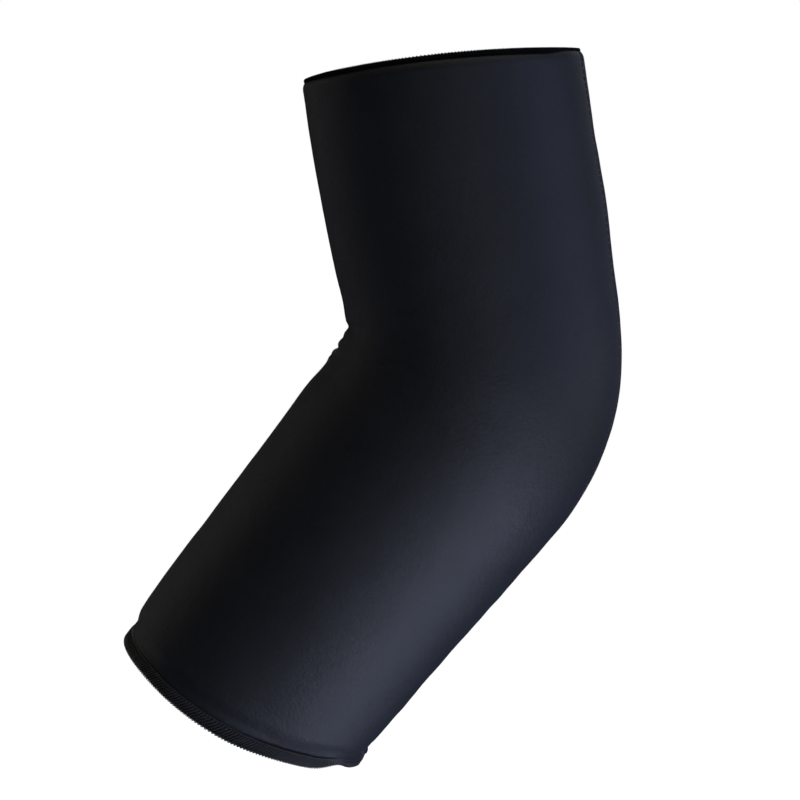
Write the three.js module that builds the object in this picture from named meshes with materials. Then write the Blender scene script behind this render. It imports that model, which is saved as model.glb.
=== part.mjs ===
// A neoprene elbow sleeve with the form that it has on a bent arm: two contoured panels sewn together
// along the front and the back of the arm, and an overlocked edge at each opening.
// Millimetres, +Z up. The upper arm goes up, the forearm goes down and forwards along -X, and the origin
// lies inside the elbow, where the axes of the two cross. Both sides of the XZ plane are alike.
import * as THREE from "three";
import { ParametricGeometry } from "three/addons/geometries/ParametricGeometry.js";
import { mergeGeometries, mergeVertices } from "three/addons/utils/BufferGeometryUtils.js";

// The arm that the sleeve is worn on
const UPPER_LENGTH = 112; // from the elbow's centre to the upper edge, along the upper arm
const FOREARM_LENGTH = 145.5; // from the elbow's centre to the lower edge, along the forearm
const ELBOW_BEND = 47.5; // degrees between the two axes
const ARM_LEAN = 9; // degrees that the upper arm leans back from the vertical
const CROOK_RADIUS = 17; // of the sleeve's outside, in the bend's hollow
const ARM_DEPTH = 100; // outside, from front to back at the elbow
const ARM_WIDTH = 92; // outside, from side to side at the elbow
const ROUNDNESS = 2.15; // exponent of the oval section: 2 is an ellipse, more is squarer
const UPPER_SLANT = 2.3; // degrees that the upper edge rises towards the front
const LOWER_SLANT = 9.5; // degrees that the lower edge drops towards the front
const UPPER_BOW = 2.2; // how far the upper edge rises at the sides, between the seams
const LOWER_BOW = 4; // how far the lower edge drops there

// The material and its seams
const WALL = 3.5; // neoprene with jersey on both faces
const CLEARANCE = 0.3; // between neighbouring pieces
const THREAD = 0.6; // thickness of a layer of overlock thread
const SEAM_GAP = 1.6; // between the two panels, where the seam draws them in
const SEAM_SINK = 1.1; // how deep the seam lies below the panels' outside
const SEAM_ROUNDING = 1.3; // how far the panels' edges roll down into the seam
const SEAM_SHOULDER = 3; // how far from the seam the panels are back at their full height
const ALLOWANCE_WIDTH = 7; // the overlocked allowance behind each seam
const ALLOWANCE_THICKNESS = 1.2;

// The edges of the two openings
const UPPER_BAND = 1.8; // height of the overlock that shows at the upper edge
const UPPER_ROLL = 4; // height over which the wall rolls in next to it
const UPPER_DROP = 2.4; // how far the wall's outside comes in there
const LOWER_BAND = 4.5; // height of the overlock at the lower edge
const LOWER_ROLL = 8; // height over which the wall is drawn in next to it
const LOWER_DROP = 2.4; // how far the wall's outside comes in there
const CORNER_LENGTH = 1.5; // how far the back seam's corner hangs below the lower edge
const CORNER_FLARE = 3.6; // how far that corner stands out
const CORNER_SPREAD = 13; // degrees round the arm that the corner fades over
const CORNER_REACH = 14; // height over which it begins to stand out

// Sections along the arm. at: share of the sleeve's length, from the upper edge; front and back: shares
// of ARM_DEPTH, from the arm's axis; side: share of ARM_WIDTH.
const SECTIONS = [
  { at: 0.0, front: 0.495, back: 0.48, side: 0.49 },
  { at: 0.12, front: 0.495, back: 0.48, side: 0.49 },
  { at: 0.22, front: 0.487, back: 0.483, side: 0.485 },
  { at: 0.34, front: 0.475, back: 0.474, side: 0.488 },
  { at: 0.44, front: 0.503, back: 0.502, side: 0.5 },
  { at: 0.55, front: 0.508, back: 0.495, side: 0.505 },
  { at: 0.66, front: 0.5, back: 0.487, side: 0.505 },
  { at: 0.8, front: 0.492, back: 0.472, side: 0.485 },
  { at: 0.92, front: 0.483, back: 0.465, side: 0.465 },
  { at: 1.0, front: 0.468, back: 0.46, side: 0.455 },
];

// Folds in the hollow of the bend. at: share of the bend; depth: share of WALL; breadth: share of
// CROOK_RADIUS; spread: degrees round the arm, each way from the front, over which the fold fades.
const FOLDS = [
  { at: -0.1, depth: 0.16, breadth: 0.12, spread: 50 },
  { at: 0.14, depth: 0.3, breadth: 0.08, spread: 40 },
  { at: 0.61, depth: 0.32, breadth: 0.09, spread: 55 },
  { at: 1.06, depth: 0.2, breadth: 0.1, spread: 38 },
];

// How finely the surfaces are divided
const SEGMENTS = 18; // round each half of the arm
const EDGE_SEGMENTS = 60; // round the arm at each opening
const BEND_STEPS = 18; // along the bend
const ARM_STEPS = 8; // along each straight stretch
const EDGE_STEPS = 3; // over the roll at each opening
const MERGE_DISTANCE = 0.001; // points nearer to each other than this are one

const radians = THREE.MathUtils.degToRad;
const { clamp, lerp, smoothstep } = THREE.MathUtils;

// The arm's axis: straight down the upper arm, round the bend and straight down the forearm
const bendRadius = CROOK_RADIUS + ARM_DEPTH / 2;
const bendTangent = bendRadius * Math.tan(radians(ELBOW_BEND) / 2);
const bendStart = UPPER_LENGTH - bendTangent;
const bendLength = bendRadius * radians(ELBOW_BEND);
const bendEnd = bendStart + bendLength;
const sleeveLength = bendEnd + FOREARM_LENGTH - bendTangent;

// The direction along the arm and the direction of its front, for a heading from the vertical
const alongAt = (heading) => new THREE.Vector3(-Math.sin(heading), 0, -Math.cos(heading));
const frontAt = (heading) => new THREE.Vector3(-Math.cos(heading), 0, Math.sin(heading));

// The axis at a distance from the upper edge: its point and the direction of the arm's front
function axisAt(distance) {
  const upperHeading = radians(-ARM_LEAN);
  const turned = clamp(distance - bendStart, 0, bendLength) / bendRadius;
  const heading = upperHeading + turned;
  const bendCentre = alongAt(upperHeading)
    .multiplyScalar(-bendTangent)
    .addScaledVector(frontAt(upperHeading), bendRadius);
  const straight = Math.min(distance - bendStart, 0) + Math.max(distance - bendEnd, 0);
  const front = frontAt(heading);
  const point = bendCentre.addScaledVector(front, -bendRadius).addScaledVector(alongAt(heading), straight);
  return { point, front };
}

// The sizes of a section, smoothly between the rows of the table
const sectionSizes = SECTIONS.map((row) => [row.front * ARM_DEPTH, row.back * ARM_DEPTH, row.side * ARM_WIDTH]);
const sectionCurve = new THREE.CubicInterpolant(
  SECTIONS.map((row) => row.at),
  sectionSizes.flat(),
  sectionSizes[0].length,
);

function sectionAt(distance) {
  const [front, back, side] = sectionCurve.evaluate(clamp(distance / sleeveLength, 0, 1));
  return { front, back, side };
}

// How deep the folds in the bend go, at a distance along the arm and an angle from its front
function foldDepth(distance, angle) {
  let depth = 0;
  for (const fold of FOLDS) {
    const away = (distance - bendStart - fold.at * bendLength) * (CROOK_RADIUS / bendRadius);
    const across = away / (fold.breadth * CROOK_RADIUS);
    const round = angle / radians(fold.spread);
    depth += fold.depth * WALL * Math.exp(-across * across - round * round);
  }
  return depth;
}

// How far the wall's outside comes in at the two edges
function edgeDrop(distance) {
  const fromUpper = distance - UPPER_BAND;
  const fromLower = sleeveLength - LOWER_BAND - distance;
  const roll = clamp(1 - fromUpper / UPPER_ROLL, 0, 1);
  const upper = UPPER_DROP * (1 - Math.sqrt(1 - roll * roll));
  return upper + LOWER_DROP * (1 - smoothstep(fromLower, 0, LOWER_ROLL));
}

// The share of the back seam's corner that is felt at an angle from the front
function cornerShare(angle) {
  const away = (Math.PI - Math.abs(angle)) / radians(CORNER_SPREAD);
  return Math.exp(-away * away);
}

// How far a point of a section is moved along the arm by the slant and bow of the two edges, which fade
// out towards the bend: forward is the point's distance from the axis, towards the front
function edgeShift(distance, forward, angle) {
  const side = Math.sin(angle) ** 2;
  const rise = forward * Math.tan(radians(UPPER_SLANT)) + UPPER_BOW * side;
  const fall = forward * Math.tan(radians(LOWER_SLANT)) + LOWER_BOW * side;
  return fall * smoothstep(distance, bendEnd, sleeveLength) - rise * (1 - smoothstep(distance, 0, bendStart));
}

// A point of the oval section: angle 0 is the front, a half turn is the back; inset is how far inside
// the sleeve's plain outer surface the point lies
function surfacePoint(distance, angle, inset) {
  const corner = cornerShare(angle) * smoothstep(distance, sleeveLength - CORNER_REACH, sleeveLength);
  const section = sectionAt(distance);
  const outward = CORNER_FLARE * corner - inset;
  const oval = (value, size) => Math.sign(value) * size * Math.abs(value) ** (2 / ROUNDNESS);
  const reach = Math.cos(angle) > 0 ? section.front : section.back;
  const forward = oval(Math.cos(angle), reach + outward);
  const sideways = oval(Math.sin(angle), section.side + outward);
  const shift = edgeShift(distance, forward, angle) + CORNER_LENGTH * corner;
  const { point, front } = axisAt(distance + shift);
  return point.addScaledVector(front, forward).setY(sideways);
}

// The angle at which the section is a given width away from the XZ plane, nearest the front
function angleOfWidth(distance, width) {
  const share = width / sectionAt(distance).side;
  return Math.asin(share ** (ROUNDNESS / 2));
}

// The distances along the arm at which the panels and seams have a section
function stations(from, to) {
  const marks = [
    { end: UPPER_BAND, steps: 1 },
    { end: UPPER_BAND + UPPER_ROLL, steps: EDGE_STEPS },
    { end: bendStart, steps: ARM_STEPS },
    { end: bendEnd, steps: BEND_STEPS },
    { end: sleeveLength - LOWER_BAND - LOWER_ROLL, steps: ARM_STEPS },
    { end: sleeveLength - LOWER_BAND, steps: EDGE_STEPS },
    { end: sleeveLength, steps: 1 },
  ];
  const found = [from];
  let start = 0;
  for (const { end, steps } of marks) {
    for (let step = 0; step < steps; step += 1) {
      const distance = lerp(start, end, step / steps);
      if (distance > from + CLEARANCE && distance < to - CLEARANCE) found.push(distance);
    }
    start = end;
  }
  return [...found, to];
}

// A closed solid from a grid of points: loops of points round a section, one loop for each station.
// ends says whether the first and last loop are closed by a face, or meet each other.
function loftedSolid(loops, ends) {
  const around = loops[0].length;
  const pointAt = (u, v, target) => {
    const loop = loops[Math.round(v * (loops.length - 1))];
    target.copy(loop[Math.round(u * around) % around]);
  };
  const faces = [new ParametricGeometry(pointAt, around, loops.length - 1)];
  if (ends) {
    // Each end is a strip between the first and the second half of its loop
    const half = around / 2;
    for (const loop of [loops[0], loops.at(-1)]) {
      const strip = (u, v, target) => {
        const step = Math.round(u * (half - 1));
        const near = loop === loops[0] ? v > 0.5 : v < 0.5;
        target.copy(near ? loop[step] : loop[around - 1 - step]);
      };
      faces.push(new ParametricGeometry(strip, half - 1, 1));
    }
  }
  const merged = mergeGeometries(faces);
  merged.deleteAttribute("normal");
  merged.deleteAttribute("uv");
  return mergeVertices(merged, MERGE_DISTANCE);
}

// One panel, a half of the sleeve: side is -1 for the side seen from -Y and 1 for the other
function panelGeometry(side) {
  const loops = stations(THREAD + CLEARANCE, sleeveLength - THREAD - CLEARANCE).map((distance) => {
    const edge = angleOfWidth(distance, SEAM_GAP / 2);
    const shoulder = angleOfWidth(distance, SEAM_GAP / 2 + SEAM_SHOULDER);
    const angles = [edge, shoulder];
    for (let step = 1; step < SEGMENTS; step += 1) angles.push((Math.PI * step) / SEGMENTS);
    angles.push(Math.PI - shoulder, Math.PI - edge);
    const outside = angles.map((angle, step) => {
      const rounded = step === 0 || step === angles.length - 1 ? SEAM_ROUNDING : 0;
      const drop = Math.max(rounded, edgeDrop(distance)) + foldDepth(distance, angle);
      return surfacePoint(distance, angle * side, drop);
    });
    const inside = angles.map((angle) => surfacePoint(distance, angle * side, WALL));
    const loop = [...outside, ...inside.reverse()];
    return side < 0 ? loop.reverse() : loop;
  });
  return loftedSolid(loops, true);
}

// One seam, between the panels and on their inside: middle is the angle at which it lies. Its section is
// a thin web, with the flat, overlocked allowance behind it.
function seamGeometry(middle) {
  const web = SEAM_GAP / 2 - CLEARANCE;
  const flat = ALLOWANCE_WIDTH / 2;
  const inside = WALL + CLEARANCE;
  const distances = stations(UPPER_BAND + CLEARANCE, sleeveLength - LOWER_BAND - CLEARANCE);
  const loops = distances.map((distance) => {
    const outside = Math.max(SEAM_SINK, edgeDrop(distance)) + foldDepth(distance, middle);
    const half = [
      { width: web, inset: outside },
      { width: web, inset: inside },
      { width: flat, inset: inside },
      { width: flat, inset: inside + ALLOWANCE_THICKNESS },
    ];
    const otherHalf = half.map(({ width, inset }) => ({ width: -width, inset })).reverse();
    return [...half, ...otherHalf].map(({ width, inset }) => {
      const turn = Math.sign(width) * angleOfWidth(distance, Math.abs(width));
      return surfacePoint(distance, middle + turn, inset);
    });
  });
  return loftedSolid(loops, true);
}

// The overlock thread wrapped round the panels at one opening. edge is where the opening lies along the
// arm and way is 1 or -1, towards the elbow; band is the thread's height and drop how far it lies in.
function edgeGeometry({ edge, way, band, drop }) {
  const outer = drop - CLEARANCE;
  const inner = WALL + CLEARANCE;
  const profile = [
    { along: band, inset: outer },
    { along: THREAD, inset: outer },
    { along: THREAD, inset: inner },
    { along: band, inset: inner },
    { along: band, inset: inner + THREAD },
    { along: THREAD / 2, inset: inner + THREAD },
    { along: 0, inset: inner },
    { along: 0, inset: outer },
    { along: THREAD / 2, inset: outer - THREAD },
    { along: band, inset: outer - THREAD },
  ];
  const loops = profile.map(({ along, inset }) => {
    const loop = [];
    for (let step = 0; step < EDGE_SEGMENTS; step += 1) {
      const angle = (way * 2 * Math.PI * step) / EDGE_SEGMENTS;
      loop.push(surfacePoint(edge + way * along, angle, inset));
    }
    return loop;
  });
  return loftedSolid([...loops, loops[0]], false);
}

const panelMaterial = new THREE.MeshStandardMaterial({ color: 0x1c1d22, roughness: 0.8, metalness: 0 });
const threadMaterial = new THREE.MeshStandardMaterial({ color: 0x121317, roughness: 0.6, metalness: 0 });

function named(name, geometry, material) {
  const mesh = new THREE.Mesh(geometry, material);
  mesh.name = name;
  return mesh;
}

const sleeve = new THREE.Group();
sleeve.add(named("lateral_panel", panelGeometry(-1), panelMaterial));
sleeve.add(named("medial_panel", panelGeometry(1), panelMaterial));
sleeve.add(named("front_seam", seamGeometry(0), threadMaterial));
sleeve.add(named("back_seam", seamGeometry(Math.PI), threadMaterial));
const upperEdge = { edge: 0, way: 1, band: UPPER_BAND, drop: UPPER_DROP };
const lowerEdge = { edge: sleeveLength, way: -1, band: LOWER_BAND, drop: LOWER_DROP };
sleeve.add(named("upper_edge_stitch", edgeGeometry(upperEdge), threadMaterial));
sleeve.add(named("lower_edge_stitch", edgeGeometry(lowerEdge), threadMaterial));

export default sleeve;
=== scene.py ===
import functools
import math

import bmesh
import bpy
from mathutils import Matrix, Vector, noise


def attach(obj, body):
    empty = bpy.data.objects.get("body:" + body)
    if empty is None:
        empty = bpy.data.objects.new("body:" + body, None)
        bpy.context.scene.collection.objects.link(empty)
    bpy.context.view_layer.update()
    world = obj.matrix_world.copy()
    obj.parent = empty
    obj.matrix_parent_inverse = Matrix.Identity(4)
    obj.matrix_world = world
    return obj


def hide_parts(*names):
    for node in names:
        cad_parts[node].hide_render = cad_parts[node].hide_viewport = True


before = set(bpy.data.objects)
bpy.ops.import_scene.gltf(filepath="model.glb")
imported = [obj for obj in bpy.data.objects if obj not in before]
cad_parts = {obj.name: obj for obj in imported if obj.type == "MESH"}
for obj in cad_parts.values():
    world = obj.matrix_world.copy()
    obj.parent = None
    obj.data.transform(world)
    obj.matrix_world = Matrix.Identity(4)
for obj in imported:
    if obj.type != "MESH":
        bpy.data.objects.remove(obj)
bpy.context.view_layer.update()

MM = 0.001

# The arm's form: the CAD model's, but for 0.2 mm more bow in the upper edge
UPPER_LENGTH = 112 * MM
FOREARM_LENGTH = 145.5 * MM
ELBOW_BEND = math.radians(47.5)
ARM_LEAN = math.radians(9)
CROOK_RADIUS = 17 * MM
ARM_DEPTH = 100 * MM
ARM_WIDTH = 92 * MM
ROUNDNESS = 2.15
UPPER_SLANT = math.radians(2.3)
LOWER_SLANT = math.radians(9.5)
UPPER_BOW = 2.4 * MM
LOWER_BOW = 4 * MM

# The material, its seams and its edges. The CAD model's upper edge and seams round off up to 0.6 mm more,
# and its corner of the back seam is larger.
WALL = 3.5 * MM
CLEARANCE = 0.3 * MM
THREAD = 0.6 * MM
SEAM_GAP = 1.6 * MM
SEAM_SINK = 1.1 * MM
SEAM_ROUNDING = 1.3 * MM
SEAM_SHOULDER = 2.4 * MM
ALLOWANCE_WIDTH = 7 * MM
ALLOWANCE_THICKNESS = 1.2 * MM
UPPER_BAND = 1.8 * MM
UPPER_ROLL = 3.4 * MM
UPPER_DROP = 2.0 * MM
LOWER_BAND = 4.5 * MM
LOWER_ROLL = 8 * MM
LOWER_DROP = 2.4 * MM
CORNER_FLARE = 0.9 * MM
CORNER_SPREAD = math.radians(13)
CORNER_REACH = 8 * MM

# The jersey's stitches, and the threads: radius of each kind, how many overlock stitches go round each
# opening, and how far apart the stitches along the seams are
WALE = 0.42 * MM
COURSE = 0.33 * MM
OVERLOCK_RADIUS = 0.22 * MM
FINE_RADIUS = 0.15 * MM
TAIL_RADIUS = 0.16 * MM
ALLOWANCE_RADIUS = 0.16 * MM
LADDER_RADIUS = 0.17 * MM
UPPER_STITCHES = 276
LOWER_STITCHES = 250
LADDER_PITCH = 2.4 * MM
ALLOWANCE_PITCH = 1.5 * MM

# Sections along the arm: share of the length, front and back as shares of ARM_DEPTH, side of ARM_WIDTH
SECTIONS = [
    (0.0, 0.495, 0.48, 0.49),
    (0.12, 0.495, 0.48, 0.49),
    (0.22, 0.487, 0.483, 0.485),
    (0.34, 0.475, 0.474, 0.488),
    (0.44, 0.503, 0.502, 0.5),
    (0.55, 0.508, 0.495, 0.505),
    (0.66, 0.5, 0.487, 0.505),
    (0.8, 0.492, 0.472, 0.485),
    (0.92, 0.483, 0.465, 0.465),
    (1.0, 0.468, 0.46, 0.455),
]

BEND_RADIUS = CROOK_RADIUS + ARM_DEPTH / 2
BEND_TANGENT = BEND_RADIUS * math.tan(ELBOW_BEND / 2)
BEND_START = UPPER_LENGTH - BEND_TANGENT
BEND_LENGTH = BEND_RADIUS * ELBOW_BEND
BEND_END = BEND_START + BEND_LENGTH
LENGTH = BEND_END + FOREARM_LENGTH - BEND_TANGENT

# Waves of the lower edge that differ from side to side: how far each lifts it, in millimetres, at which
# angle, and over how many degrees each way
RIM_WAVES = [(2.4, -157, 9), (-0.9, -98, 20), (1.0, 161, 8), (-0.5, 104, 22)]

# Creases in the hollow of the bend: share of the bend; depth; half breadth; half spread round the arm, in
# degrees; the angle at which the crease is deepest
CROOK_CREASES = [
    (0.42, 0.80 * MM, 6.5 * MM, 40, 0),
    (-0.12, 0.30 * MM, 1.5 * MM, 26, -4),
    (0.11, 0.95 * MM, 1.1 * MM, 30, 0),
    (0.34, 0.30 * MM, 0.9 * MM, 20, -6),
    (0.61, 0.85 * MM, 1.0 * MM, 34, 2),
    (0.83, 0.35 * MM, 0.9 * MM, 22, -5),
    (1.04, 0.65 * MM, 1.3 * MM, 30, 0),
    (-0.02, 0.35 * MM, 0.4 * MM, 7, -69),
    (0.42, 0.35 * MM, 0.4 * MM, 6, -68),
    (0.47, 0.25 * MM, 0.3 * MM, 5, -60),
    (0.20, 0.28 * MM, 0.8 * MM, 11, 52),
    (0.66, 0.30 * MM, 0.8 * MM, 12, 60),
]


def clamp(value, low, high):
    """The value, kept between low and high."""
    return max(low, min(high, value))


def smooth(value, low, high):
    """0 at low and 1 at high, with a soft start and end."""
    share = clamp((value - low) / (high - low), 0, 1)
    return share * share * (3 - 2 * share)


def swell(away, spread):
    """1 at the middle, fading softly over the spread."""
    return math.exp(-((away / spread) ** 2))


@functools.lru_cache(maxsize=None)
def section_at(distance):
    """How far the section reaches to the front, to the back and to the sides."""
    at = clamp(distance / LENGTH, 0, 1)
    row = max(index for index in range(len(SECTIONS) - 1) if SECTIONS[index][0] <= at)
    start, end = SECTIONS[row][0], SECTIONS[row + 1][0]
    share = (at - start) / (end - start)
    sizes = []
    for column in (1, 2, 3):
        slopes = []
        for index in (row, row + 1):
            if 0 < index < len(SECTIONS) - 1:
                before, after = SECTIONS[index - 1], SECTIONS[index + 1]
                slopes.append((after[column] - before[column]) / (after[0] - before[0]))
            else:
                slopes.append(0.0)
        near, far = SECTIONS[row][column], SECTIONS[row + 1][column]
        size = near * (2 * share**3 - 3 * share**2 + 1) + far * (3 * share**2 - 2 * share**3)
        size += (end - start) * slopes[0] * (share**3 - 2 * share**2 + share)
        size += (end - start) * slopes[1] * (share**3 - share**2)
        sizes.append(size)
    return sizes[0] * ARM_DEPTH, sizes[1] * ARM_DEPTH, sizes[2] * ARM_WIDTH


def axis_at(distance):
    """The arm's axis: x and z of its point, and of the direction to the arm's front."""
    heading = -ARM_LEAN + clamp(distance - BEND_START, 0, BEND_LENGTH) / BEND_RADIUS
    straight = min(distance - BEND_START, 0) + max(distance - BEND_END, 0)
    centre_x = BEND_TANGENT * math.sin(-ARM_LEAN) - BEND_RADIUS * math.cos(-ARM_LEAN)
    centre_z = BEND_TANGENT * math.cos(-ARM_LEAN) + BEND_RADIUS * math.sin(-ARM_LEAN)
    front_x, front_z = -math.cos(heading), math.sin(heading)
    x = centre_x - BEND_RADIUS * front_x - straight * math.sin(heading)
    z = centre_z - BEND_RADIUS * front_z - straight * math.cos(heading)
    return x, z, front_x, front_z


def corner_share(angle):
    """How much of the back seam's corner is felt at an angle."""
    return swell(math.pi - abs(angle), CORNER_SPREAD)


def rim_wave(angle):
    """How far the lower edge is lifted by its waves, which are never quite even."""
    degrees = math.degrees(angle)
    at_back = swell(abs(degrees) - 180, 16)
    beside_front = swell(abs(degrees) - 48, 22)
    lift = 1.2 * at_back + 0.7 * beside_front
    for height, middle, spread in RIM_WAVES:
        lift += height * swell(degrees - middle, spread)
    return lift * MM


def sleeve_point(distance, angle, inset):
    """A point inside the sleeve's plain outer surface by the inset."""
    near_edge = smooth(distance, LENGTH - CORNER_REACH, LENGTH)
    corner = corner_share(angle) * near_edge
    front, back, side = section_at(distance)
    outward = CORNER_FLARE * corner - inset
    cosine, sine = math.cos(angle), math.sin(angle)
    reach = front if cosine > 0 else back
    forward = math.copysign((reach + outward) * abs(cosine) ** (2 / ROUNDNESS), cosine)
    sideways = math.copysign((side + outward) * abs(sine) ** (2 / ROUNDNESS), sine)
    rise = forward * math.tan(UPPER_SLANT) + UPPER_BOW * sine * sine
    fall = forward * math.tan(LOWER_SLANT) + LOWER_BOW * sine * sine
    shift = fall * smooth(distance, BEND_END, LENGTH) - rise * (1 - smooth(distance, 0, BEND_START))
    shift -= rim_wave(angle) * near_edge
    x, z, front_x, front_z = axis_at(distance + shift)
    return Vector((x + front_x * forward, sideways, z + front_z * forward))


def angle_of_width(distance, width):
    """The angle at which the section is a given width away from the seam at the front."""
    return math.asin((width / section_at(distance)[2]) ** (ROUNDNESS / 2))


def band_fullness(angle):
    """How much less the lower edge is drawn in at the sides and the back than at the front."""
    degrees = math.degrees(angle)
    return MM * (1.0 - 0.45 * swell(degrees, 62) + 0.5 * swell(abs(degrees) - 180, 24))


def upper_cover(angle):
    """The share of the upper binding's breadth that shows: less towards the seams, which turn the cloth
    over it."""
    degrees = math.degrees(angle)
    at_front = swell(degrees, 46)
    at_back = 1 - smooth(180 - abs(degrees), 16, 36)
    return 1 - 0.72 * (at_front + at_back)


def lower_cover(angle):
    """The share of the lower overlock's breadth that shows: less where its ends are sewn in."""
    degrees = math.degrees(angle) % 360
    return 1 - 0.42 * smooth(degrees, 172, 184) * (1 - smooth(degrees, 196, 212))


def edge_drop(distance, angle):
    """How far the wall's outside comes in at the two openings."""
    roll = clamp(1 - (distance - UPPER_BAND * upper_cover(angle)) / UPPER_ROLL, 0, 1)
    upper = UPPER_DROP * (1 - math.sqrt(1 - roll * roll))
    lower = LOWER_DROP - band_fullness(angle)
    return upper + lower * (1 - smooth(LENGTH - LOWER_BAND * lower_cover(angle) - distance, 0, LOWER_ROLL))


def crook_relief(distance, angle):
    """How deep the crook's creases go; the cloth swells up between them."""
    degrees = math.degrees(angle)
    depth = 0
    for at, deep, breadth, spread, deepest in CROOK_CREASES:
        fade = swell(degrees - deepest, spread)
        if fade < 0.004:
            continue
        bow = 1.6 * MM * ((degrees - deepest) / spread) ** 2 * (1 if at < 0.5 else -1)
        away = (distance - BEND_START - at * BEND_LENGTH - bow) * (CROOK_RADIUS / BEND_RADIUS)
        depth += deep * fade * swell(away, breadth)
        if breadth < 2 * MM:
            depth -= 0.22 * deep * fade * swell(abs(away) - 2.2 * breadth, 1.2 * breadth)
    return depth


def edge_relief(distance, angle):
    """The roll that the foam makes above the lower overlock, and the pinch where it is drawn flat."""
    degrees = math.degrees(angle)
    up = LENGTH - distance - LOWER_BAND * lower_cover(angle)
    pinch = 0.5 * swell(degrees + 129, 20) + 0.3 * swell(degrees - 110, 30)
    at_back = swell(abs(degrees) - 180, 27)
    roll = 0.6 + 0.85 * at_back - 0.58 * swell(degrees + 129, 24)
    relief = pinch * swell(max(0, up), 2.4 * MM) + 0.55 * at_back * swell(up - 4.2 * MM, 1.9 * MM)
    return MM * (relief - roll * swell(up - 1.1 * MM, 1.4 * MM))


def cloth_ripple(point, side):
    """Soft unevenness of foam and jersey over the whole sleeve."""
    shifted = point + Vector((0, 0.3 * side, 0))
    broad = noise.noise(shifted / (34 * MM)) * 0.28
    middling = noise.noise(shifted / (13 * MM)) * 0.13
    fine = noise.noise(shifted / (4.5 * MM)) * 0.045
    return (broad + middling + fine) * MM


def seam_pucker(distance, away, seam):
    """Where a seam's thread draws the cloth in, a stitch at a time."""
    beat = noise.noise(Vector((distance / (7 * MM), seam * 5.3, 0.7)))
    return 0.22 * MM * beat * swell(away, 5.5 * MM)


def panel_inset(distance, angle, side):
    """How far inside the plain surface a panel's outer face lies."""
    width = abs(section_at(distance)[2] * math.sin(angle))
    from_border = max(0, width - SEAM_GAP / 2)
    roll = clamp(1 - from_border / SEAM_SHOULDER, 0, 1)
    border = SEAM_ROUNDING * (1 - math.sqrt(1 - roll * roll))
    seam = 0 if abs(angle) < math.pi / 2 else 1
    inset = max(border, edge_drop(distance, angle)) + crook_relief(distance, angle)
    inset += edge_relief(distance, angle) * (1 - 0.6 * roll)
    inset += cloth_ripple(sleeve_point(distance, angle, 0), side)
    return inset + seam_pucker(distance, width, seam)


def lining_inset(distance, angle, side):
    """How far inside the plain surface a panel's inner face lies."""
    ripple = cloth_ripple(sleeve_point(distance, angle, WALL), -side)
    return WALL + 0.35 * max(0, crook_relief(distance, angle)) + 0.3 * ripple


def station_rows(first, last):
    """Distances along the sleeve, close together where the cloth folds or rolls in."""
    # The end of each stretch, and its number of steps
    marks = [
        (UPPER_BAND, 3),
        (UPPER_BAND + UPPER_ROLL, 12),
        (BEND_START, 48),
        (BEND_END, 90),
        (LENGTH - LOWER_BAND - LOWER_ROLL, 62),
        (LENGTH - LOWER_BAND, 20),
        (LENGTH, 12),
    ]
    rows, start = [first], 0.0
    for end, steps in marks:
        for step in range(steps):
            distance = start + (end - start) * step / steps
            if first + CLEARANCE < distance < last - CLEARANCE:
                rows.append(distance)
        start = end
    return rows + [last]


# Making pieces


def cloth_grid(columns, rows, place, pattern):
    """A grid whose corners are moved to place(column, row), with its pattern's place as a UV map."""
    shape = bmesh.new()
    bmesh.ops.create_grid(shape, x_segments=columns, y_segments=rows, size=0.5)
    column_of = shape.verts.layers.int.new("column")
    row_of = shape.verts.layers.int.new("row")
    weave = shape.loops.layers.uv.new("Weave")
    for corner in shape.verts:
        corner[column_of] = round((corner.co.x + 0.5) * columns)
        corner[row_of] = round((corner.co.y + 0.5) * rows)
        corner.co = place(corner[column_of], corner[row_of])
    for face in shape.faces:
        for loop in face.loops:
            loop[weave].uv = pattern(loop.vert[column_of], loop.vert[row_of])
    return shape, column_of, row_of


def drop_grid_marks(shape):
    """Takes off the column and row numbers, which only the making needs."""
    for layer in list(shape.verts.layers.int.values()):
        shape.verts.layers.int.remove(layer)


def finished_piece(name, shape, materials, node):
    """The shape as a piece of the sleeve, in place of the CAD node that it stands for."""
    drop_grid_marks(shape)
    bmesh.ops.recalc_face_normals(shape, faces=shape.faces)
    mesh = bpy.data.meshes.new(name)
    shape.to_mesh(mesh)
    shape.free()
    for material in materials:
        mesh.materials.append(material)
    mesh.shade_smooth()
    mesh.set_sharp_from_angle(angle=math.radians(50))
    piece = bpy.data.objects.new(name, mesh)
    bpy.context.scene.collection.objects.link(piece)
    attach(piece, "root")
    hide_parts(node)
    return piece


PANEL_COLUMNS = 150
BAND_ROWS = 300
THREAD_SIDES = 6
MEAN_REACH = 47 * MM  # from the arm's axis to the cloth


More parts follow.
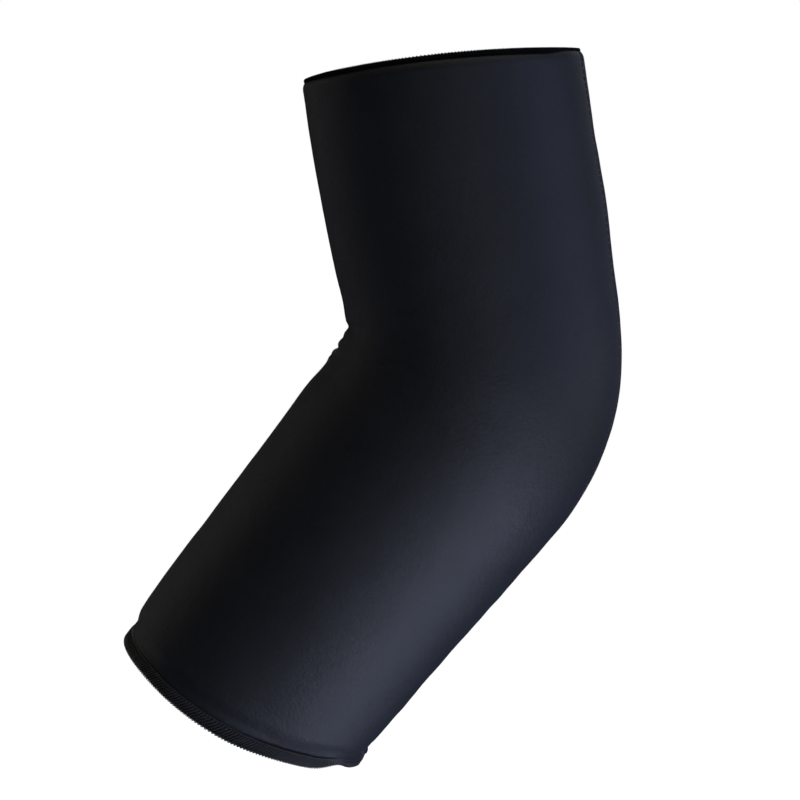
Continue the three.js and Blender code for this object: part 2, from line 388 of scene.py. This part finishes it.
def panel_shell(name, side, node):
    """One half of the sleeve: its outer face, its lining and the cut edges between them."""
    rows = station_rows(THREAD + CLEARANCE, LENGTH - THREAD - CLEARANCE)

    @functools.lru_cache(maxsize=None)
    def angle_at(column, row):
        border = angle_of_width(rows[row], SEAM_GAP / 2)
        share = column / PANEL_COLUMNS
        # Columns are closer together towards the seams
        share -= 0.6 * math.sin(2 * math.pi * share) / (2 * math.pi)
        return side * (border + (math.pi - 2 * border) * share)

    def outside(column, row):
        distance, angle = rows[row], angle_at(column, row)
        return sleeve_point(distance, angle, panel_inset(distance, angle, side))

    def inside(column, row):
        distance, angle = rows[row], angle_at(column, row)
        return sleeve_point(distance, angle, lining_inset(distance, angle, side))

    def weave(column, row):
        return angle_at(column, row) * MEAN_REACH, rows[row]

    shape, column_of, row_of = cloth_grid(PANEL_COLUMNS, len(rows) - 1, outside, weave)
    rub = shape.verts.layers.float.new("rub")
    for corner in shape.verts:
        distance, angle = rows[corner[row_of]], angle_at(corner[column_of], corner[row_of])
        # The cloth is rubbed over the point of the elbow and on the crests between the creases
        elbow = swell(distance - BEND_START - 0.5 * BEND_LENGTH, 26 * MM)
        elbow *= swell(math.pi - abs(angle), math.radians(38))
        crests = clamp(-crook_relief(distance, angle) / (0.4 * MM), 0, 1)
        corner[rub] = clamp(elbow + 0.7 * crests, 0, 1)
    outer_faces = set(shape.faces)
    lifted = bmesh.ops.extrude_face_region(shape, geom=list(shape.faces), use_keep_orig=True)["geom"]
    for item in lifted:
        if isinstance(item, bmesh.types.BMVert):
            item.co = inside(item[column_of], item[row_of])
    lining = {item for item in lifted if isinstance(item, bmesh.types.BMFace)}
    for face in shape.faces:
        face.material_index = 0 if face in outer_faces or face in lining else 1
    return finished_piece(name, shape, [jersey, cut_foam], node)


def edge_point(edge, way, angle, along, inset):
    """A point of an opening's binding: how far from the opening, and how far inside the plain surface. The
    lower binding stands out more at the sides and the back, and flares towards its edge at the front."""
    if way < 0:
        outside = clamp((WALL - inset) / (WALL - LOWER_DROP), 0, 1)
        inset -= outside * band_fullness(angle)
        flare = swell(math.degrees(angle), 40) * 0.1 * MM + 0.1 * MM
        inset -= flare * (1 - clamp(along / LOWER_BAND, 0, 1)) ** 2
        if along > THREAD and inset < WALL:
            along = THREAD + (along - THREAD) * lower_cover(angle)
    elif along > THREAD and inset < WALL:
        along = THREAD + (along - THREAD) * upper_cover(angle)
    return sleeve_point(edge + way * along, angle, inset)


def ring_band(name, edge, way, profile, node, finish):
    """The dense wrapping of an opening's edge, which the overlock's threads lie on."""

    def place(column, row):
        along, inset = profile[column % len(profile)]
        angle = math.remainder(2 * math.pi * row / BAND_ROWS, 2 * math.pi)
        return edge_point(edge, way, angle, along, inset)

    def weave(column, row):
        return column * 0.4 * MM, 2 * math.pi * MEAN_REACH * row / BAND_ROWS

    shape, _, _ = cloth_grid(len(profile), BAND_ROWS, place, weave)
    bmesh.ops.remove_doubles(shape, verts=shape.verts, dist=0.001 * MM)
    return finished_piece(name, shape, [finish], node)


def seam_body(name, middle, node):
    """A seam's web between the panels, and the flat allowance on the inside."""
    rows = station_rows(UPPER_BAND + CLEARANCE, LENGTH - LOWER_BAND - CLEARANCE)
    web, flat = SEAM_GAP / 2 - CLEARANCE, ALLOWANCE_WIDTH / 2
    behind = WALL + CLEARANCE
    soft = 0.35 * MM
    half = [
        (0.5 * web, 0.0),
        (web, 0.12 * MM),
        (web, behind),
        (flat - soft, behind),
        (flat, behind + 0.6 * soft),
        (flat, behind + ALLOWANCE_THICKNESS - 0.6 * soft),
        (flat - soft, behind + ALLOWANCE_THICKNESS),
        (0.8 * MM, behind + ALLOWANCE_THICKNESS),
        (0.25 * MM, behind + ALLOWANCE_THICKNESS - 0.3 * MM),
    ]
    profile = half + [(-width, inset) for width, inset in reversed(half)]

    def place(column, row):
        width, inset = profile[column % len(profile)]
        distance = rows[row]
        if inset < behind:
            inset += max(SEAM_SINK, edge_drop(distance, middle)) + max(0, crook_relief(distance, middle))
        else:
            inset += lining_inset(distance, middle, 1) - WALL
        inset = min(inset, behind + 2 * ALLOWANCE_THICKNESS)
        turn = math.copysign(angle_of_width(distance, abs(width)), width)
        return sleeve_point(distance, middle + turn, inset)

    def weave(column, row):
        return column * 0.6 * MM, rows[row]

    shape, _, _ = cloth_grid(len(profile), len(rows) - 1, place, weave)
    bmesh.ops.remove_doubles(shape, verts=shape.verts, dist=0.001 * MM)
    open_ends = [edge for edge in shape.edges if edge.is_boundary]
    bmesh.ops.holes_fill(shape, edges=open_ends, sides=0)
    return finished_piece(name, shape, [jersey], node)


def thread_frames(path, closed):
    """A pair of directions across the path at each point, which turn as little as they can."""
    count = len(path)
    tangents = []
    for index in range(count):
        before = path[index - 1] if closed or index > 0 else path[index]
        after = path[(index + 1) % count] if closed or index < count - 1 else path[index]
        tangents.append((after - before).normalized())
    across = tangents[0].orthogonal().normalized()
    frames = []
    for tangent in tangents:
        across = (across - tangent * across.dot(tangent)).normalized()
        frames.append((across, tangent.cross(across)))
    if closed:
        last = (across - tangents[0] * across.dot(tangents[0])).normalized()
        turn = math.atan2(last.dot(frames[0][1]), last.dot(frames[0][0]))
        for index, (first, second) in enumerate(frames):
            back = -turn * index / count
            frames[index] = (
                first * math.cos(back) + second * math.sin(back),
                second * math.cos(back) - first * math.sin(back),
            )
    return frames


def thread_run(path, radius, closed):
    """A round thread along a path."""
    frames = thread_frames(path, closed)
    count = len(path)
    lengths = [0.0]
    for index in range(count):
        lengths.append(lengths[-1] + (path[(index + 1) % count] - path[index]).length)

    def place(column, row):
        across, up = frames[row % count]
        turn = 2 * math.pi * (column % THREAD_SIDES) / THREAD_SIDES
        return path[row % count] + radius * (across * math.cos(turn) + up * math.sin(turn))

    def twist(column, row):
        return column / THREAD_SIDES, lengths[row]

    shape, _, _ = cloth_grid(THREAD_SIDES, count if closed else count - 1, place, twist)
    bmesh.ops.remove_doubles(shape, verts=shape.verts, dist=0.0005 * MM)
    if not closed:
        open_ends = [edge for edge in shape.edges if edge.is_boundary]
        bmesh.ops.holes_fill(shape, edges=open_ends, sides=0)
    return shape


def thread_piece(name, runs, node, finish):
    """Several runs of thread as one piece."""
    together = bmesh.new()
    for run in runs:
        mesh = bpy.data.meshes.new("run")
        drop_grid_marks(run)
        run.to_mesh(mesh)
        run.free()
        together.from_mesh(mesh)
        bpy.data.meshes.remove(mesh)
    return finished_piece(name, together, [finish], node)


def unevenness(stitch, seed):
    """A small irregularity for a stitch, from -1 to 1, the same on each run of the script."""
    return noise.noise(Vector((stitch * 0.37, seed * 3.1, 0.5))) * 1.6


def overlock_runs(edge, way, band, drop, stitches, slant_at):
    """An overlock's four threads round an opening: the one that lies slanting over the outside, the chain
    along the very edge, the row of needle stitches and the one behind."""
    outer, inner = drop - CLEARANCE - THREAD, WALL + CLEARANCE + THREAD
    step = 2 * math.pi / stitches
    pitch = step * MEAN_REACH

    def over(turn, along, inset):
        return edge_point(edge, way, math.remainder(turn * step, 2 * math.pi), along, inset)

    slanting, chain, needle, behind = [], [], [], []
    for stitch in range(stitches):
        jitter = 0.12 * unevenness(stitch, 1)
        high = band * (1 + 0.04 * unevenness(stitch, 2))
        slant = slant_at(math.remainder(stitch * step, 2 * math.pi)) * band / pitch
        # Share of the slant; how far from the opening; how far inside the plain surface
        legs = [
            (0.0, high - 0.1 * MM, outer + 0.10 * MM),
            (0.12, 0.8 * high, outer - 0.14 * MM),
            (0.5, 0.45 * high, outer - 0.20 * MM),
            (0.88, 0.16 * high, outer - 0.10 * MM),
            (1.0, -0.02 * MM, outer + 0.5 * MM),
            (0.75, 0.3 * high, outer + 0.35 * MM),
            (0.35, 0.62 * high, outer + 0.35 * MM),
        ]
        for share, along, inset in legs:
            slanting.append(over(stitch + jitter + slant * share, along, inset))
        for corner in range(8):
            turn = 2 * math.pi * corner / 8
            forward = stitch + corner / 8 + 0.42 * math.sin(turn)
            along = 0.42 * MM + 0.34 * MM * math.cos(turn)
            rise = 0.05 * MM + 0.1 * MM * math.sin(turn)
            chain.append(over(forward, along, outer - rise))
        for share, lift in ((0.0, 0.0), (0.25, 0.14), (0.55, 0.18), (0.85, 0.06)):
            needle.append(over(stitch + share + jitter, high + 0.05 * MM, outer + (0.2 - lift) * MM))
        for share, along in ((0.0, 0.9), (0.25, 0.5), (0.5, 0.1), (0.75, 0.5)):
            lift = 0.05 * MM + 0.04 * MM * math.sin(2 * math.pi * share)
            behind.append(over(stitch + 1.4 * share + jitter, along * band, inner + lift))
    return [
        thread_run(slanting, OVERLOCK_RADIUS, True),
        thread_run(chain, FINE_RADIUS, True),
        thread_run(needle, FINE_RADIUS, True),
        thread_run(behind, FINE_RADIUS, True),
    ]


def edge_profile(band, drop):
    """The U that wraps a wall's edge: how far from the opening, and how far inside the plain surface."""
    outer, inner = drop - CLEARANCE, WALL + CLEARANCE
    outside, inside = outer - 0.75 * THREAD, inner + 0.75 * THREAD
    middle = (outside + inside) / 2
    return [
        (band + 0.25 * MM, outer + 0.12 * MM),
        (band, outside),
        (0.66 * band, outside - 0.06 * MM),
        (0.33 * band, outside - 0.06 * MM),
        (THREAD, outside),
        (0.22 * MM, outside + 0.3 * MM),
        (0.06 * MM, middle - 0.4 * MM),
        (0.06 * MM, middle + 0.4 * MM),
        (0.22 * MM, inside - 0.3 * MM),
        (THREAD, inside),
        (0.5 * band, inside),
        (band, inside),
        (band + 0.25 * MM, inner - 0.05 * MM),
        (band, inner),
        (THREAD, inner),
        (THREAD, outer),
        (band, outer),
    ]


def seam_ladder(middle):
    """The thread that shows as a ladder in the groove between the panels."""
    start, end = UPPER_BAND + 3 * MM, LENGTH - LOWER_BAND - 2 * MM
    breadth, needle_hole = 4.4 * MM, 1.9 * MM
    path = []
    for stitch in range(int((end - start) / LADDER_PITCH)):
        side = 1 if stitch % 2 else -1
        for share in (-0.42, -0.2, 0.0, 0.2, 0.42):
            distance = start + LADDER_PITCH * (stitch + 0.28 * share)
            width = side * share * breadth
            turn = math.copysign(angle_of_width(distance, needle_hole), width)
            bed = panel_inset(distance, middle + turn, 1)
            dip = 0.5 * MM * swell(share, 0.22)
            path.append((distance, width, bed - 0.05 * MM + dip))
        # On to the next stitch, under the cloth
        path.append((distance + 0.35 * LADDER_PITCH, width, bed + 0.15 * MM))
        path.append((distance + 0.7 * LADDER_PITCH, width, bed + 0.1 * MM))
    points = []
    for distance, width, inset in path:
        turn = math.copysign(angle_of_width(distance, abs(width)), width)
        points.append(sleeve_point(distance, middle + turn, inset))
    return thread_run(points, LADDER_RADIUS, False)


def allowance_overlock(middle):
    """The overlock across a seam's allowance, on the inside."""
    start, end = UPPER_BAND + 2 * MM, LENGTH - LOWER_BAND - 2 * MM
    top = WALL + CLEARANCE + ALLOWANCE_THICKNESS + 0.1 * MM
    # Share of a stitch; share of the allowance's half width; millimetres off its face
    zigzag = [(0.0, -1.0, -0.5), (0.05, -0.85, 0.05), (0.2, -0.3, 0.1), (0.35, 0.3, 0.1), (0.5, 0.85, 0.05)]
    zigzag += [(0.55, 1.0, -0.5), (0.6, 0.85, 0.02), (0.75, 0.3, 0.0), (0.9, -0.3, 0.0), (0.97, -0.85, 0.02)]
    points = []
    for stitch in range(int((end - start) / ALLOWANCE_PITCH)):
        for share, across, rise in zigzag:
            distance = start + ALLOWANCE_PITCH * (stitch + share)
            width = across * (ALLOWANCE_WIDTH / 2 + 0.05 * MM)
            inset = top + rise * MM + lining_inset(distance, middle, 1) - WALL
            turn = math.copysign(angle_of_width(distance, abs(width)), width)
            points.append(sleeve_point(distance, middle + turn, inset))
    return thread_run(points, ALLOWANCE_RADIUS, False)


# Finishes


def maths(tree, operation, *inputs):
    """A Math node's result, from numbers and other nodes' results."""
    node = tree.nodes.new("ShaderNodeMath")
    node.operation = operation
    for socket, value in zip(node.inputs, inputs):
        if isinstance(value, bpy.types.NodeSocket):
            tree.links.new(value, socket)
        else:
            socket.default_value = value
    return node.outputs[0]


def new_finish(name, colour, roughness, sheen, sheen_tint=(1, 1, 1)):
    """A material with its shader's even values set, and the places that its patterns read."""
    material = bpy.data.materials.new(name)
    material.use_nodes = True
    tree = material.node_tree
    shader = tree.nodes["Principled BSDF"]
    shader.inputs["Base Color"].default_value = (*colour, 1)
    shader.inputs["Roughness"].default_value = roughness
    shader.inputs["Sheen Weight"].default_value = sheen
    shader.inputs["Sheen Roughness"].default_value = 0.45
    shader.inputs["Sheen Tint"].default_value = (*sheen_tint, 1)
    places = tree.nodes.new("ShaderNodeTexCoord")
    return material, tree, shader, places


def grain(tree, places, scale, detail=2.0):
    """Noise at a scale, in cells for each metre."""
    node = tree.nodes.new("ShaderNodeTexNoise")
    node.inputs["Scale"].default_value = scale
    node.inputs["Detail"].default_value = detail
    tree.links.new(places.outputs["Object"], node.inputs["Vector"])
    return node.outputs["Fac"]


def between(tree, amount, low, high):
    """A colour between two, by an amount from 0 to 1."""
    node = tree.nodes.new("ShaderNodeMix")
    node.data_type = "RGBA"
    tree.links.new(amount, node.inputs["Factor"])
    for socket, colour in ((node.inputs[6], low), (node.inputs[7], high)):
        if isinstance(colour, bpy.types.NodeSocket):
            tree.links.new(colour, socket)
        else:
            socket.default_value = (*colour, 1)
    return node.outputs[2]


def raised(tree, shader, height, depth, strength=1.0):
    """Relief on a finish: the height, from 0 to 1, stands that deep."""
    node = tree.nodes.new("ShaderNodeBump")
    node.inputs["Strength"].default_value = strength
    node.inputs["Distance"].default_value = depth
    tree.links.new(height, node.inputs["Height"])
    tree.links.new(node.outputs["Normal"], shader.inputs["Normal"])


def jersey_finish():
    """Fine jersey knit: rows of small V stitches, with a satin gloss and a touch of blue."""
    material, tree, shader, places = new_finish(
        "black_jersey", (0.012, 0.0125, 0.016), 0.75, 0.06, (0.5, 0.65, 1.0)
    )
    shader.inputs["Specular IOR Level"].default_value = 0.5
    split = tree.nodes.new("ShaderNodeSeparateXYZ")
    tree.links.new(places.outputs["UV"], split.inputs[0])
    wale = maths(tree, "MULTIPLY", split.outputs[0], 1 / WALE)
    course = maths(tree, "MULTIPLY", split.outputs[1], 1 / COURSE)
    from_middle = maths(tree, "PINGPONG", wale, 0.5)
    slanted = maths(tree, "ADD", course, maths(tree, "MULTIPLY", from_middle, 1.1))
    loops = maths(tree, "SINE", maths(tree, "MULTIPLY", slanted, 2 * math.pi))
    furrows = maths(tree, "SINE", maths(tree, "MULTIPLY", from_middle, math.pi))
    fibres = grain(tree, places, 5200, 3.0)
    knit = maths(tree, "MULTIPLY_ADD", loops, 0.28, maths(tree, "MULTIPLY", furrows, 0.45))
    knit = maths(tree, "MULTIPLY_ADD", fibres, 0.5, knit)
    knit = maths(tree, "MULTIPLY_ADD", grain(tree, places, 1000, 1.0), 2.4, knit)
    knit = maths(tree, "MULTIPLY_ADD", grain(tree, places, 420, 1.0), 2.2, knit)
    raised(tree, shader, knit, 0.07 * MM, 0.6)
    rub = tree.nodes.new("ShaderNodeAttribute")
    rub.attribute_name = "rub"
    cloudy = grain(tree, places, 42, 3.0)
    mottled = maths(tree, "ADD", grain(tree, places, 900), maths(tree, "SUBTRACT", cloudy, 0.5))
    tint = between(tree, mottled, (0.0072, 0.0077, 0.0106), (0.0165, 0.0177, 0.0240))
    specks = maths(tree, "GREATER_THAN", grain(tree, places, 2600, 1.0), 0.74)
    tint = between(tree, maths(tree, "MULTIPLY", specks, 0.35), tint, (0.035, 0.036, 0.041))
    tint = between(tree, maths(tree, "MULTIPLY", rub.outputs["Fac"], 0.3), tint, (0.024, 0.025, 0.030))
    tree.links.new(tint, shader.inputs["Base Color"])
    gloss = maths(tree, "MULTIPLY_ADD", cloudy, 0.10, 0.55)
    gloss = maths(tree, "MULTIPLY_ADD", rub.outputs["Fac"], -0.05, gloss)
    tree.links.new(gloss, shader.inputs["Roughness"])
    return material


def foam_finish():
    """The cut edge of the foam: matt, with fine closed cells."""
    material, tree, shader, places = new_finish("cut_foam", (0.014, 0.014, 0.015), 0.9, 0.0)
    cells = tree.nodes.new("ShaderNodeTexVoronoi")
    cells.inputs["Scale"].default_value = 3200
    tree.links.new(places.outputs["Object"], cells.inputs["Vector"])
    raised(tree, shader, cells.outputs["Distance"], 0.12 * MM)
    tint = between(tree, grain(tree, places, 900), (0.010, 0.010, 0.011), (0.020, 0.020, 0.021))
    tree.links.new(tint, shader.inputs["Base Color"])
    return material


def thread_finish(name, dark, light, smoothest, level, sheen):
    """Twisted polyester thread: its darkest and lightest colour, its lowest roughness, gloss and sheen."""
    material, tree, shader, places = new_finish(name, dark, 0.5, sheen)
    shader.inputs["Specular IOR Level"].default_value = level
    split = tree.nodes.new("ShaderNodeSeparateXYZ")
    tree.links.new(places.outputs["UV"], split.inputs[0])
    along = maths(tree, "MULTIPLY", split.outputs[1], 1 / (0.7 * MM))
    ply = maths(tree, "ADD", along, split.outputs[0])
    ply = maths(tree, "SINE", maths(tree, "MULTIPLY", ply, 4 * math.pi))
    height = maths(tree, "MULTIPLY_ADD", ply, 0.4, grain(tree, places, 7000))
    raised(tree, shader, height, 0.05 * MM, 0.8)
    tint = between(tree, grain(tree, places, 1500), dark, light)
    tree.links.new(tint, shader.inputs["Base Color"])
    gloss = maths(tree, "MULTIPLY_ADD", grain(tree, places, 700), 0.25, smoothest)
    tree.links.new(gloss, shader.inputs["Roughness"])
    return material


def wrapping_finish():
    """The lowest layer of thread, packed side by side across the edge: the same black thread, painted darker
    than the threads over it as painted shade between them.
    """
    material, tree, shader, places = new_finish("packed_thread", (0.006, 0.006, 0.007), 0.6, 0.08)
    split = tree.nodes.new("ShaderNodeSeparateXYZ")
    tree.links.new(places.outputs["UV"], split.inputs[0])
    strands = maths(tree, "MULTIPLY", split.outputs[1], 2 * math.pi / (0.34 * MM))
    ridges = maths(tree, "MULTIPLY_ADD", maths(tree, "SINE", strands), 0.5, grain(tree, places, 3000))
    raised(tree, shader, ridges, 0.12 * MM)
    # Painted shade: darker than the same thread lying over it, for the shade between the overlock's threads
    tint = between(tree, grain(tree, places, 1100), (0.003, 0.003, 0.0035), (0.008, 0.008, 0.009))
    tree.links.new(tint, shader.inputs["Base Color"])
    return material


jersey = jersey_finish()
cut_foam = foam_finish()
stitch_thread = thread_finish(
    "black_thread", (0.022, 0.022, 0.026), (0.052, 0.052, 0.060), smoothest=0.4, level=0.45, sheen=0.3
)
# The upper edge's thread and wrapping: the same black thread painted near black, as painted shade of the
# rolled-in edge
painted_shade_thread = thread_finish(
    "painted_shade_black_thread", (0.002, 0.002, 0.0025), (0.005, 0.005, 0.006), smoothest=0.8, level=0.12, sheen=0.03
)
# The sewn-in tails: the same black thread painted darker, as painted shade under the roll of foam above them
shaded_tail_thread = thread_finish(
    "painted_shade_tail_thread", (0.006, 0.006, 0.007), (0.022, 0.022, 0.025), smoothest=0.5, level=0.4, sheen=0.1
)
wrapping = wrapping_finish()

# The sleeve

lateral = panel_shell("lateral_panel_shell", -1, "lateral_panel")
medial = panel_shell("medial_panel_shell", 1, "medial_panel")

front_body = seam_body("front_seam_allowance", 0.0, "front_seam")
back_body = seam_body("back_seam_allowance", math.pi, "back_seam")
front_thread = thread_piece(
    "front_seam_thread", [seam_ladder(0.0), allowance_overlock(0.0)], "front_seam", stitch_thread
)
back_thread = thread_piece(
    "back_seam_thread", [seam_ladder(math.pi), allowance_overlock(math.pi)], "back_seam", stitch_thread
)

# Painted shade: the upper edge's wrapping and overlock are painted near black, for the shade of the
# rolled-in edge
upper_band = ring_band(
    "upper_edge_wrapping", 0.0, 1, edge_profile(UPPER_BAND, UPPER_DROP), "upper_edge_stitch", painted_shade_thread
)
lower_band = ring_band(
    "lower_edge_wrapping", LENGTH, -1, edge_profile(LOWER_BAND, LOWER_DROP), "lower_edge_stitch", wrapping
)
upper_thread = thread_piece(
    "upper_edge_overlock",
    overlock_runs(0.0, 1, UPPER_BAND, UPPER_DROP, UPPER_STITCHES, lambda angle: 0.45),
    "upper_edge_stitch",
    painted_shade_thread,
)


def lower_slant(angle):
    """The lower overlock's slant, which turns round where its end runs over its beginning."""
    degrees = math.degrees(angle) % 360
    return 0.6 - 1.5 * smooth(degrees, 164, 180) * (1 - smooth(degrees, 204, 220))


# The overlock's sewn-in ends: how far from the opening each begins and ends, in millimetres, and the angle
# at which it begins. All of them end at the back seam.
TAILS = [(4.1, 3.5, -158), (3.3, 2.7, -153), (2.5, 1.9, -156), (1.6, 1.1, -151), (0.8, 0.4, -155)]
TAILS_END = -179.2
TAIL_STEPS = 40


def sewn_in_tails():
    """The overlock's ends, laid along the edge and sewn in by the corner of the back seam."""
    ends = []
    for high, low, begin in TAILS:
        points = []
        for step in range(TAIL_STEPS + 1):
            share = step / TAIL_STEPS
            angle = math.radians(begin + (TAILS_END - begin) * share)
            along = (high + (low - high) * smooth(share, 0, 1)) * MM
            rise = 0.3 * MM * math.sin(math.pi * min(1, share * 6) / 2) + 0.03 * MM * math.sin(share * 70)
            inset = LOWER_DROP - CLEARANCE - THREAD - rise
            points.append(edge_point(LENGTH, -1, angle, along, inset))
        ends.append(thread_run(points, TAIL_RADIUS, False))
    return ends


lower_thread = thread_piece(
    "lower_edge_overlock",
    overlock_runs(LENGTH, -1, LOWER_BAND, LOWER_DROP, LOWER_STITCHES, lower_slant),
    "lower_edge_stitch",
    stitch_thread,
)
# The tails' thread is painted darker, for the shade of the roll above them
tails = thread_piece("lower_edge_tails", sewn_in_tails(), "lower_edge_stitch", shaded_tail_thread)

# The seams' and openings' pieces, in one list
trim = [front_body, back_body, front_thread, back_thread]
trim += [upper_band, lower_band, upper_thread, lower_thread, tails]

# Floor, light and camera


def direction(azimuth, elevation):
    """The direction from the sleeve towards a place round it; azimuth 0 is the lateral side."""
    turn, up = math.radians(azimuth), math.radians(elevation)
    return Vector((math.sin(turn) * math.cos(up), -math.cos(turn) * math.cos(up), math.sin(up)))


def facing(back):
    """The turn of a light or camera that looks against the direction."""
    return (-back).to_track_quat("-Z", "Y").to_matrix().to_4x4()


def soft_light(name, azimuth, elevation, far, width, height, power, colour):
    """A softbox that faces the sleeve: degrees, then metres, then watts."""
    lamp = bpy.data.lights.new(name, "AREA")
    lamp.shape = "RECTANGLE"
    lamp.size, lamp.size_y = width, height
    lamp.energy = power
    lamp.color = colour
    lamp_object = bpy.data.objects.new(name, lamp)
    bpy.context.scene.collection.objects.link(lamp_object)
    back = direction(azimuth, elevation)
    lamp_object.matrix_world = Matrix.Translation(back * far) @ facing(back)
    lamp_object.visible_camera = False


FLOOR_HEIGHT = -0.45
FLOOR_RADIUS = 6.0

floor_shape = bmesh.new()
bmesh.ops.create_circle(floor_shape, cap_ends=True, segments=96, radius=FLOOR_RADIUS)
bmesh.ops.translate(floor_shape, verts=floor_shape.verts, vec=(0, 0, FLOOR_HEIGHT))
floor_mesh = bpy.data.meshes.new("studio_floor")
floor_shape.to_mesh(floor_mesh)
floor_shape.free()
# The floor glows, so that it is nearly white without a light of its own
floor_finish, floor_tree, floor_shader, floor_places = new_finish("pale_floor", (0.35, 0.35, 0.35), 0.9, 0.0)
floor_shader.inputs["Emission Color"].default_value = (1, 1, 1, 1)
from_middle = floor_tree.nodes.new("ShaderNodeVectorMath")
from_middle.operation = "LENGTH"
floor_tree.links.new(floor_places.outputs["Object"], from_middle.inputs[0])
glow = floor_tree.nodes.new("ShaderNodeMapRange")
for socket, value in (("From Min", 0.3), ("From Max", 1.6), ("To Min", 0.88), ("To Max", 1.0)):
    glow.inputs[socket].default_value = value
floor_tree.links.new(from_middle.outputs["Value"], glow.inputs["Value"])
floor_tree.links.new(glow.outputs["Result"], floor_shader.inputs["Emission Strength"])
floor_mesh.materials.append(floor_finish)
studio_floor = bpy.data.objects.new("studio_floor", floor_mesh)
bpy.context.scene.collection.objects.link(studio_floor)
studio_floor.visible_diffuse = False
studio_floor.visible_glossy = False

world = bpy.data.worlds.new("pale_studio")
world.use_nodes = True
world.node_tree.nodes["Background"].inputs["Color"].default_value = (1, 1, 1, 1)
world.node_tree.nodes["Background"].inputs["Strength"].default_value = 1.0
world.cycles_visibility.diffuse = False
world.cycles_visibility.glossy = False
bpy.context.scene.world = world

soft_light("low_softbox", 60, -62, 0.5, 0.3, 0.3, 1.8, (0.66, 0.74, 1.0))
soft_light("front_softbox", 20, -30, 0.8, 0.4, 0.4, 2.1, (0.8, 0.85, 1.0))
soft_light("side_softbox", 85, 10, 1.0, 0.5, 0.5, 2.6, (0.36, 0.47, 1.0))
soft_light("right_softbox", 100, -10, 1.0, 0.5, 0.5, 0.95, (1.0, 0.91, 0.55))
soft_light("rim_softbox", -107, 5, 1.5, 0.7, 1.2, 1.4, (1.0, 0.95, 0.93))
soft_light("back_softbox", 180, 25, 1.8, 1.4, 1.2, 5.0, (1.0, 0.94, 0.85))
soft_light("top_softbox", 60, 80, 1.8, 1.4, 1.4, 10, (1.0, 0.94, 0.7))

# The photograph's view: 11 degrees towards the back of the elbow and 5 degrees up, 1.2 m from the point
# that it aims at, where the picture is 0.28 m wide
CAMERA_AZIMUTH, CAMERA_ELEVATION = 11, 5
CAMERA_FAR = 1.2
VIEW_WIDTH = 0.28
SENSOR_WIDTH = 36
AIM = Vector((-0.033, 0, -0.0063))

camera_data = bpy.data.cameras.new("photo_camera")
camera_data.sensor_width = SENSOR_WIDTH
camera_data.lens = SENSOR_WIDTH * CAMERA_FAR / VIEW_WIDTH
camera = bpy.data.objects.new("photo_camera", camera_data)
bpy.context.scene.collection.objects.link(camera)
camera_back = direction(CAMERA_AZIMUTH, CAMERA_ELEVATION)
camera.matrix_world = Matrix.Translation(AIM + camera_back * CAMERA_FAR) @ facing(camera_back)
bpy.context.scene.camera = camera

bpy.context.scene.view_settings.view_transform = "Standard"
bpy.context.scene.view_settings.look = "None"
